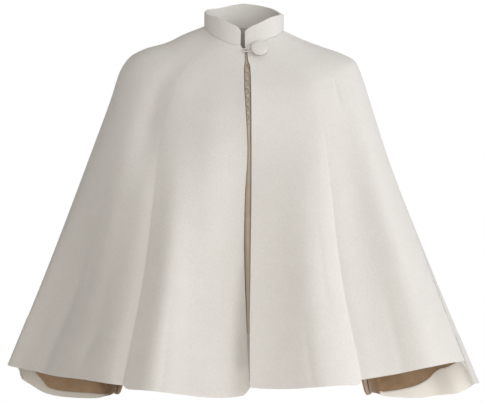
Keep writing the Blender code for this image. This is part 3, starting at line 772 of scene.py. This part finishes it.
def front(side, word, finish):
    rows = rows_of(CLOTH_CELL)[:, None]
    body = evenly_spaced(side, 0, SIDE, CLOTH_CELL)
    sleeve = evenly_spaced(side, SIDE, 1, CLOTH_CELL)
    base = with_seam(np.concatenate([body, sleeve[1:]]), SIDE)
    around = front_around(base[None, :], over_arm(side, rows))
    hem = hem_down(side, around, FRONT_HEM)
    down = hung(rows, hem)
    cloth = Cloth(side, around, down, stitched_lines(side, around, down, hem))
    edges = (SEAM_ROUND, 1, 1, SEAM_ROUND) if side == RIGHT else (SEAM_ROUND, 1, SEAM_ROUND, 1)
    return shell(f"front_{word}_cloth", cloth.at(0), cloth.at(WOOL), finish, EDGE_ROUND, edges)


def back(finish):
    rows = rows_of(BACK_CELL)[:, None]
    halves = []
    lined = []
    for side in (RIGHT, LEFT):
        sleeve = evenly_spaced(side, 1, 2 - SIDE, BACK_CELL)
        body = evenly_spaced(side, 2 - SIDE, 2, BACK_CELL)
        around = back_around(np.concatenate([sleeve, body[1:]])[None, :], over_arm(side, rows) + SEAM_SHARE)
        hem = hem_down(side, around, BACK_HEM)
        down = hung(rows, hem)
        halves.append(Cloth(side, around, down, stitched_lines(side, around, down, hem)))
        # Painted shade beside the side seam, near the hem, in the lining's dark colour.
        turned = ease((around - PAINTED_SHADE_EDGE[0]) / PAINTED_SHADE_EDGE_SOFT)
        turned = turned * ease((PAINTED_SHADE_EDGE[1] - around) / PAINTED_SHADE_EDGE_SOFT)
        turned = turned * ease(2 - (hem - down) * SPOKE / PAINTED_SHADE_EDGE_HEIGHT)
        lined.append(turned if side == RIGHT else turned[:, ::-1])
    grids = []
    for depth in (0, WOOL):
        right, left = (half.at(depth) for half in halves)
        middle = (right[:, -1:] + left[:, :1]) / 2
        grids.append(np.concatenate([right[:, :-1], middle, left[:, 1:]], axis=1))
    marks = {"lined": np.concatenate([lined[0], lined[1][:, 1:]], axis=1)}
    return shell("back_cloth", *grids, finish, EDGE_ROUND, (SEAM_ROUND, 1, SEAM_ROUND, SEAM_ROUND), marks)


def collar(finish):
    """A stand round the neck, open at the front, its lower edge just above the neck seam."""
    corner = np.linspace(0, COLLAR_CORNER_END, COLLAR_CORNER_COLUMNS)
    around = np.concatenate([corner, np.linspace(COLLAR_CORNER_END, 2, COLLAR_COLUMNS)[1:]])
    rise = np.linspace(1, 0, COLLAR_ROWS)[:, None]
    grids = []
    for depth in (0, COLLAR_WALL):
        halves = []
        for side in (RIGHT, LEFT):
            base = garment(side, around, 0.0)[None]
            inward = base * (1, 1, 0)
            inward = inward / np.linalg.norm(inward, axis=-1, keepdims=True)
            height = column(COLLAR, for_side(side, 1, 2), around)[None] * rise
            lean = COLLAR_LEAN * height * np.cos(around * math.pi / 2) ** 2
            points = base - inward * (depth + lean)[..., None]
            points[..., 2] += GAP + height
            halves.append(points)
        grids.append(np.concatenate([halves[0], halves[1][:, ::-1][:, 1:]], axis=1))
    return shell("collar_cloth", *grids, finish, COLLAR_WALL * WALL_ROUND, (1, SEAM_ROUND, 1, 1))


def sleeve_places(side, last):
    before = evenly_spaced(side, LINED_FROM, 1, BACK_CELL)
    behind = evenly_spaced(side, 1, last, BACK_CELL)
    return before, behind


def sleeve_around(places, edge):
    before, behind = places
    return np.concatenate([front_around(before[None, :], edge), back_around(behind[None, 1:], edge)], axis=1)


def sleeve_hem(side, around):
    """The hem inside a sleeve, which follows the front in front and the back behind."""
    seam = over_arm(side, 1.0)
    front_hem = hem_down(side, around, FRONT_HEM)
    return front_hem + (hem_down(side, around, BACK_HEM) - front_hem) * ease((around - seam) / HEM_STEP)


def sleeve_layer(name, cloth, wall, finish):
    """A cloth that lies inside the wool."""
    top = WOOL + LAYER_GAP
    return shell(name, cloth.at(top), cloth.at(top + wall), finish, wall * WALL_ROUND)


def facing(side, word, finish):
    around = sleeve_around(sleeve_places(side, FACED_TO), over_arm(side, np.ones((FACING_ROWS, 1))))
    width = column(FACING_WIDTHS, for_side(side, 1, 2), around)
    rise = FACING_RISE + (width - FACING_RISE) * np.linspace(1, 0, FACING_ROWS)[:, None]
    cloth = Cloth(side, around, sleeve_hem(side, around) - rise / SPOKE)
    return sleeve_layer(f"facing_{word}_cloth", cloth, FACING_WALL, finish)


def lining(side, word, finish):
    share = np.linspace(0, 1, LINING_ROWS)[:, None]
    rows = LINING_TOP + (1 - LINING_TOP) * share
    around = sleeve_around(sleeve_places(side, LINED_TO), over_arm(side, rows))
    width = column(FACING_WIDTHS, for_side(side, 1, 2), around)
    bottom = sleeve_hem(side, around) - (width - FACING_RISE) / SPOKE
    cloth = Cloth(side, around, LINING_TOP + (bottom - LINING_TOP) * share)
    return sleeve_layer(f"lining_{word}_cloth", cloth, LINING_WALL, finish)


def underlap(finish):
    """The strip behind the front opening, with a soft roll down its middle."""
    rows = np.linspace(UNDERLAP_TOP, UNDERLAP_END, UNDERLAP_ROWS)[:, None]
    edge = evenly_spaced(LEFT, 0, SIDE, UNDERLAP_REACH)[1]
    sides = []
    for side in (LEFT, RIGHT):
        places = np.linspace(0, edge, UNDERLAP_SIDE_COLUMNS)[None, :] + 0 * rows
        sides.append((garment(side, places, rows), normals_of(garment, side, places, rows)))
    grids = []
    for depth in (WOOL + LAYER_GAP, WOOL + LAYER_GAP + UNDERLAP_WALL):
        left, right = (points - depth * normals for points, normals in sides)
        share = np.linspace(0, 1, UNDERLAP_MIDDLE_COLUMNS)[None, 1:-1, None]
        bridge = left[:, :1] + (right[:, :1] - left[:, :1]) * share
        bridge[..., 1] -= UNDERLAP_ROLL * np.sin(share[..., 0] * math.pi) ** 2
        grids.append(np.concatenate([left[:, ::-1], bridge, right], axis=1))
    # Painted shade: 1 beside the fronts' edges, falling to 0 in the middle of the strip.
    painted_shade = np.abs(np.linspace(-1, 1, UNDERLAP_MIDDLE_COLUMNS)) ** UNDERLAP_PAINTED_SHADE_POWER
    painted_shade = np.pad(painted_shade, UNDERLAP_SIDE_COLUMNS - 1, constant_values=1.0)
    marks = {"painted_shade": np.tile(painted_shade, (len(rows), 1))}
    return shell("underlap_cloth", *grids, finish, UNDERLAP_WALL * UNDERLAP_ROUND, marks=marks)


def front_face_at(x, down):
    """The point and the normal of the right front's outer face at a place across."""
    around = np.linspace(0, SIDE, FINE_STEPS)
    place = np.interp(x, garment(RIGHT, around, down)[:, 0], around)
    spot = np.array([place]), np.array([down])
    return garment(RIGHT, *spot)[0], normals_of(garment, RIGHT, *spot)[0]


def axes_at(normal):
    """The directions across and up a face."""
    across = np.cross((0.0, 0.0, 1.0), normal)
    across = across / np.linalg.norm(across)
    return across, np.cross(normal, across)


def button(finish):
    """A cloth-covered dome, faintly puckered where its cover is drawn in round the rim."""
    point, normal = front_face_at(BUTTON_X, BUTTON_DOWN)
    across, rise = axes_at(normal)
    angles = np.linspace(0, math.pi / 2, DOME_RINGS)[1:]
    radii = [BUTTON_RADIUS * math.sin(a) ** DOME_POWER for a in angles]
    heights = [BUTTON_SHANK + BUTTON_RIM + (BUTTON_HEIGHT - BUTTON_RIM) * math.cos(a) for a in angles]
    radii += [BUTTON_RADIUS * RIM_UNDERCUT, BUTTON_UNDERSIDE]
    radii += [SHANK_RADIUS * SHANK_FLARE, SHANK_RADIUS, SHANK_RADIUS]
    heights += [BUTTON_SHANK + BUTTON_RIM / 2, BUTTON_SHANK, BUTTON_SHANK, BUTTON_SHANK * SHANK_NECK, 0]
    turn = np.linspace(0, 2 * math.pi, BUTTON_SIDES + 1)[:-1]
    radii = np.array(radii)[:, None]
    gathers = np.cos(turn * PUCKERS + PUCKER_UNEVEN * np.sin(PUCKER_UNEVEN_WAVES * turn))[None]
    radii = radii * (1 + PUCKER_DEPTH * gathers * (radii / BUTTON_RADIUS) ** PUCKER_FADE)
    heights = np.array(heights)[:, None] + 0 * radii
    base = point + normal * GAP
    grid = base + radii[..., None] * (np.cos(turn)[:, None] * across + np.sin(turn)[:, None] * rise)
    grid = grid + heights[..., None] * normal
    top = base + normal * (BUTTON_SHANK + BUTTON_HEIGHT)
    rows, columns = grid.shape[:2]
    faces = []
    for r in range(rows - 1):
        for c in range(columns):
            n = (c + 1) % columns
            faces.append((r * columns + c, r * columns + n, (r + 1) * columns + n, (r + 1) * columns + c))
    last = rows * columns
    for c in range(columns):
        n = (c + 1) % columns
        faces.append((last, n, c))
        faces.append((last + 1, (rows - 1) * columns + c, (rows - 1) * columns + n))
    mesh = bpy.data.meshes.new("button_cover")
    mesh.from_pydata(grid.reshape(-1, 3).tolist() + [top.tolist(), base.tolist()], [], faces)
    mesh.shade_smooth()
    mesh.materials.append(finish)
    thing = bpy.data.objects.new("button_cover", mesh)
    bpy.context.scene.collection.objects.link(thing)
    return thing


def tube(name, points, radius, finish):
    """A round cord through the points."""
    data = bpy.data.curves.new(name, "CURVE")
    data.dimensions = "3D"
    data.bevel_depth = radius
    data.bevel_resolution = 3
    data.use_fill_caps = True
    data.resolution_u = 6
    spline = data.splines.new("BEZIER")
    spline.bezier_points.add(len(points) - 1)
    for knot, point in zip(spline.bezier_points, points):
        knot.co = point
        knot.handle_left_type = "AUTO"
        knot.handle_right_type = "AUTO"
    data.materials.append(finish)
    thing = bpy.data.objects.new(name, data)
    bpy.context.scene.collection.objects.link(thing)
    return thing


def button_loop(finish):
    """A cord from the left front's edge, across the opening, round the button's shank and back."""
    point, normal = front_face_at(BUTTON_X, BUTTON_DOWN)
    across, rise = axes_at(normal)
    centre = point + normal * (GAP + LOOP_RADIUS + LOOP_LIFT)
    points = []
    for step in range(LOOP_STEPS + 1):
        angle = math.radians(LOOP_TURN * (0.5 - step / LOOP_STEPS))
        points.append(centre + (across * math.cos(angle) + rise * math.sin(angle)) * LOOP_RING)
    spot = np.array([LOOP_FOOT]), np.array([BUTTON_DOWN])
    foot = (garment(LEFT, *spot) + (LOOP_RADIUS + GAP) * normals_of(garment, LEFT, *spot))[0]
    middle = foot / 2 + normal * LOOP_ARCH
    top = [foot + rise * LOOP_SPREAD, middle + (points[0] + rise * LOOP_SPREAD) / 2]
    bottom = [middle + (points[-1] - rise * LOOP_SPREAD) / 2, foot - rise * LOOP_SPREAD]
    return tube("button_loop_cord", top + points + bottom, LOOP_RADIUS, finish)


def loop_cord(finish):
    """A rouleau cord in even waves down the upper part of the underlap."""
    steps = LOOP_CORD_WAVES * LOOP_CORD_POINTS + 1
    points = []
    for step in range(steps):
        share = step / (steps - 1)
        spot = np.array([0.0]), np.array([LOOP_CORD_FROM + (LOOP_CORD_TO - LOOP_CORD_FROM) * share])
        left = (garment(LEFT, *spot) - (WOOL + GAP) * normals_of(garment, LEFT, *spot))[0]
        right = (garment(RIGHT, *spot) - (WOOL + GAP) * normals_of(garment, RIGHT, *spot))[0]
        wave = math.sin(share * LOOP_CORD_WAVES * 2 * math.pi)
        room = 0.5 - (LOOP_CORD_RADIUS + 2 * GAP) / np.linalg.norm(right - left)
        point = left + (right - left) * (0.5 + room * wave)
        points.append(point + np.array([0, -(LOOP_CORD_RADIUS + GAP), 0]))
    return tube("loop_cord_trim", points, LOOP_CORD_RADIUS, finish)


class Nodes:
    """A material's node tree, with short calls for the nodes it needs."""

    def __init__(self, name, roughness, sheen):
        self.material = bpy.data.materials.new(name)
        self.material.use_nodes = True
        self.tree = self.material.node_tree
        self.shader = self.tree.nodes["Principled BSDF"]
        self.shader.inputs["Roughness"].default_value = roughness
        self.shader.inputs["Specular IOR Level"].default_value = 0.2
        self.shader.inputs["Sheen Weight"].default_value = sheen
        self.shader.inputs["Sheen Roughness"].default_value = 0.45
        self.place = self.add("ShaderNodeTexCoord")

    def add(self, kind, **settings):
        node = self.tree.nodes.new(kind)
        for key, value in settings.items():
            setattr(node, key, value)
        return node

    def link(self, source, target):
        self.tree.links.new(source, target)

    def stretched(self, socket, scale, turn=(0, 0, 0)):
        node = self.add("ShaderNodeMapping")
        node.inputs["Scale"].default_value = scale
        node.inputs["Rotation"].default_value = turn
        self.link(socket, node.inputs["Vector"])
        return node.outputs["Vector"]

    def noise(self, vector, scale, detail, roughness, distortion=0.0):
        node = self.add("ShaderNodeTexNoise")
        node.inputs["Scale"].default_value = scale
        node.inputs["Detail"].default_value = detail
        node.inputs["Roughness"].default_value = roughness
        node.inputs["Distortion"].default_value = distortion
        self.link(vector, node.inputs["Vector"])
        return node.outputs["Fac"]

    def ramp(self, socket, stops):
        node = self.add("ShaderNodeValToRGB")
        band = node.color_ramp
        while len(band.elements) < len(stops):
            band.elements.new(0.5)
        for element, (place, colour) in zip(band.elements, stops):
            element.position = place
            element.color = (*colour, 1.0)
        self.link(socket, node.inputs["Fac"])
        return node.outputs["Color"]

    def mix(self, factor, first, second, blend="MIX"):
        node = self.add("ShaderNodeMix", data_type="RGBA", blend_type=blend)
        colours = [socket for socket in node.inputs if socket.type == "RGBA"]
        for socket, value in ((node.inputs["Factor"], factor), (colours[0], first), (colours[1], second)):
            if isinstance(value, bpy.types.NodeSocket):
                self.link(value, socket)
            elif socket.type == "RGBA":
                socket.default_value = (*value, 1.0)
            else:
                socket.default_value = value
        return [socket for socket in node.outputs if socket.type == "RGBA"][0]

    def math(self, operation, first, second):
        node = self.add("ShaderNodeMath", operation=operation)
        for socket, value in ((node.inputs[0], first), (node.inputs[1], second)):
            if isinstance(value, bpy.types.NodeSocket):
                self.link(value, socket)
            else:
                socket.default_value = value
        return node.outputs["Value"]

    def bump(self, height, distance, strength, under=None):
        node = self.add("ShaderNodeBump")
        node.inputs["Strength"].default_value = strength
        node.inputs["Distance"].default_value = distance
        self.link(height, node.inputs["Height"])
        if under is not None:
            self.link(under, node.inputs["Normal"])
        return node.outputs["Normal"]

    def stitches(self):
        """1 on each stitch of the row below the cloth's upper edge, else 0."""
        split = self.add("ShaderNodeSeparateXYZ")
        self.link(self.place.outputs["UV"], split.inputs["Vector"])
        along = self.math("FRACT", self.math("DIVIDE", split.outputs["X"], STITCH_PITCH), 0.0)
        row = self.math("LESS_THAN", split.outputs["Y"], -STITCH_FROM)
        row = self.math("MULTIPLY", row, self.math("GREATER_THAN", split.outputs["Y"], -STITCH_TO))
        return self.math("MULTIPLY", row, self.math("LESS_THAN", along, STITCH_LENGTH / STITCH_PITCH))

    def finish(self, colour, normal):
        self.link(colour, self.shader.inputs["Base Color"])
        self.link(normal, self.shader.inputs["Normal"])
        return self.material


def felted_wool(name, light, dark, lined=None, thread=None):
    """Matte felt: short fibres lying every way, a soft nap and faint cloudy tones.

    Where the mesh's mark says so, a given dark colour is painted on as shade. A thread's colour adds
    stitches.
    """
    nodes = Nodes(name, roughness=0.95, sheen=0.25)
    place = nodes.place.outputs["Object"]
    clouds = nodes.noise(place, scale=24, detail=3, roughness=0.6)
    flecks = nodes.noise(place, scale=420, detail=3, roughness=0.7)
    tone = nodes.math("ADD", nodes.math("MULTIPLY", clouds, 0.20), nodes.math("MULTIPLY", flecks, 0.80))
    colour = nodes.ramp(tone, ((0.36, dark), (0.64, light)))
    if lined is not None:
        # Painted shade: the given dark colour where the mesh's mark is set.
        turned = nodes.add("ShaderNodeAttribute", attribute_name="lined").outputs["Fac"]
        colour = nodes.mix(turned, colour, lined)
    one_way = nodes.stretched(place, (1, 0.16, 0.35), (0.4, 0.2, 0.5))
    other_way = nodes.stretched(place, (0.3, 0.4, 1), (0.9, -0.5, 0.3))
    one = nodes.noise(one_way, scale=1500, detail=2, roughness=0.6, distortion=0.6)
    other = nodes.noise(other_way, scale=1300, detail=2, roughness=0.6, distortion=0.6)
    fibres = nodes.math("ADD", one, other)
    nap = nodes.noise(place, scale=240, detail=3, roughness=0.6)
    soft = nodes.bump(nap, distance=0.9 * MM, strength=0.30)
    if thread is not None:
        sewn = nodes.stitches()
        colour = nodes.mix(sewn, colour, thread)
        soft = nodes.bump(sewn, distance=0.4 * MM, strength=0.8, under=soft)
    return nodes.finish(colour, nodes.bump(fibres, distance=0.4 * MM, strength=0.40, under=soft))


def twill(name, light, dark, roughness, pitch, sheen, painted_shade=0.0):
    """A fine twill whose ribs run on the slant of the cloth's own grain, with painted shade where its mesh's
    mark says so.
    """
    nodes = Nodes(name, roughness, sheen)
    place = nodes.place.outputs["UV"]
    wave = nodes.add("ShaderNodeTexWave", wave_type="BANDS", bands_direction="DIAGONAL")
    wave.inputs["Scale"].default_value = WAVE_REPEAT / pitch
    wave.inputs["Distortion"].default_value = 0.25
    wave.inputs["Detail"].default_value = 1.0
    nodes.link(place, wave.inputs["Vector"])
    ribs = wave.outputs["Fac"]
    threads = nodes.noise(nodes.stretched(place, (1, 0.12, 1)), scale=1400, detail=2, roughness=0.6)
    clouds = nodes.noise(nodes.place.outputs["Object"], scale=45, detail=3, roughness=0.6)
    tone = nodes.math("ADD", nodes.math("MULTIPLY", ribs, 0.35), nodes.math("MULTIPLY", clouds, 0.65))
    colour = nodes.ramp(tone, ((0.25, dark), (0.75, light)))
    # Painted shade: where the mark is set, the colour goes to the dark tone scaled down.
    if painted_shade:
        painted_shade_mark = nodes.add("ShaderNodeAttribute", attribute_name="painted_shade").outputs["Fac"]
        painted_shade_tone = tuple(value * painted_shade for value in dark)
        colour = nodes.mix(painted_shade_mark, colour, painted_shade_tone)
    height = nodes.math("ADD", ribs, nodes.math("MULTIPLY", threads, 0.5))
    return nodes.finish(colour, nodes.bump(height, distance=0.2 * MM, strength=0.4))


def studio():
    """A white surround, a pale floor well below, and soft light that comes mostly from the right."""
    scene = bpy.context.scene
    world = bpy.data.worlds.new("surround")
    scene.world = world
    world.use_nodes = True
    tree = world.node_tree
    coordinates = tree.nodes.new("ShaderNodeTexCoord")
    split = tree.nodes.new("ShaderNodeSeparateXYZ")
    ramp = tree.nodes.new("ShaderNodeValToRGB")
    ramp.color_ramp.elements[0].position = WHITE_UP_TO
    ramp.color_ramp.elements[0].color = (1.0, 1.0, 1.0, 1.0)
    ramp.color_ramp.elements[1].position = WHITE_UP_TO + WHITE_FADE
    ramp.color_ramp.elements[1].color = (*SKY, 1.0)
    tree.links.new(coordinates.outputs["Generated"], split.inputs["Vector"])
    tree.links.new(split.outputs["Z"], ramp.inputs["Fac"])
    tree.links.new(ramp.outputs["Color"], tree.nodes["Background"].inputs["Color"])

    mesh = bpy.data.meshes.new("floor")
    turn = np.linspace(0, 2 * math.pi, FLOOR_SIDES + 1)[:-1]
    rim = [(FLOOR_RADIUS * math.cos(a), FLOOR_RADIUS * math.sin(a), FLOOR_HEIGHT) for a in turn]
    mesh.from_pydata(rim, [], [tuple(range(len(rim)))])
    floor = bpy.data.objects.new("floor", mesh)
    scene.collection.objects.link(floor)
    paint = bpy.data.materials.new("floor_paint")
    paint.use_nodes = True
    shader = paint.node_tree.nodes["Principled BSDF"]
    shader.inputs["Base Color"].default_value = (*FLOOR, 1.0)
    shader.inputs["Roughness"].default_value = 0.9
    mesh.materials.append(paint)

    for name, position, aim, size, power, colour in LAMPS:
        lamp = bpy.data.lights.new(name, "AREA")
        lamp.size = size
        lamp.energy = power
        lamp.color = colour
        holder = bpy.data.objects.new(name, lamp)
        holder.location = position
        holder.rotation_euler = (Vector(aim) - Vector(position)).to_track_quat("-Z", "Y").to_euler()
        scene.collection.objects.link(holder)
    scene.view_settings.view_transform = "Standard"


def camera():
    data = bpy.data.cameras.new("camera")
    data.sensor_width = SENSOR
    data.lens = SENSOR * FOCAL_PIXELS / IMAGE_WIDTH
    data.shift_x = -AIM_COLUMN / IMAGE_WIDTH
    data.shift_y = AIM_ROW / IMAGE_WIDTH
    data.clip_end = FARTHEST
    thing = bpy.data.objects.new("camera", data)
    thing.location = (0, -CAMERA_DISTANCE, CAMERA_HEIGHT)
    thing.rotation_euler = (math.pi / 2, 0, 0)
    bpy.context.scene.collection.objects.link(thing)
    bpy.context.scene.camera = thing


def dress():
    wool = felted_wool("felted_wool", WOOL_LIGHT, WOOL_DARK)
    # This copy of the wool takes painted shade in the lining's dark colour beside the sleeves' side seams.
    painted_edge_shade_wool = felted_wool("painted_edge_shade_wool", WOOL_LIGHT, WOOL_DARK, LINING_DARK)
    # The right facing's cream is painted lighter than the left's, as painted light.
    creams = {
        LEFT: felted_wool("left_facing_wool", LEFT_FACING_LIGHT, LEFT_FACING_DARK, thread=THREAD),
        RIGHT: felted_wool("right_facing_painted_light_wool", RIGHT_FACING_PAINTED_LIT_LIGHT, RIGHT_FACING_PAINTED_LIT_DARK, thread=THREAD),
    }
    brown = twill("lining_twill", LINING_LIGHT, LINING_DARK, roughness=0.55, pitch=1.2 * MM, sheen=0.1)
    matte = {"roughness": 0.85, "pitch": 1.5 * MM, "sheen": 0.15}
    taupe = twill("underlap_twill", TAUPE_LIGHT, TAUPE_DARK, painted_shade=TAUPE_PAINTED_SHADE, **matte)
    cord = twill("cord_twill", CORD_LIGHT, CORD_DARK, **matte)
    made = {
        "back": place(back(painted_edge_shade_wool), "back", "back_wool"),
        "collar": place(collar(wool), "collar", "collar_wool"),
        "front_underlap": place(underlap(taupe), "front_underlap", "underlap_cloth"),
        "button": place(button(wool), "button", "button_cover"),
        "button_loop": place(button_loop(wool), "button_loop", "loop_cover"),
        "loop_cord": place(loop_cord(cord), "loop_cord", "loop_cord_cover"),
    }
    for side, word in ((LEFT, "left"), (RIGHT, "right")):
        cream = creams[side]
        made[f"front_{word}"] = place(front(side, word, wool), f"front_{word}", f"front_{word}_wool")
        made[f"facing_{word}"] = place(facing(side, word, cream), f"facing_{word}", f"facing_{word}_wool")
        made[f"lining_{word}"] = place(lining(side, word, brown), f"lining_{word}", f"lining_{word}_cloth")


studio()
camera()
dress()
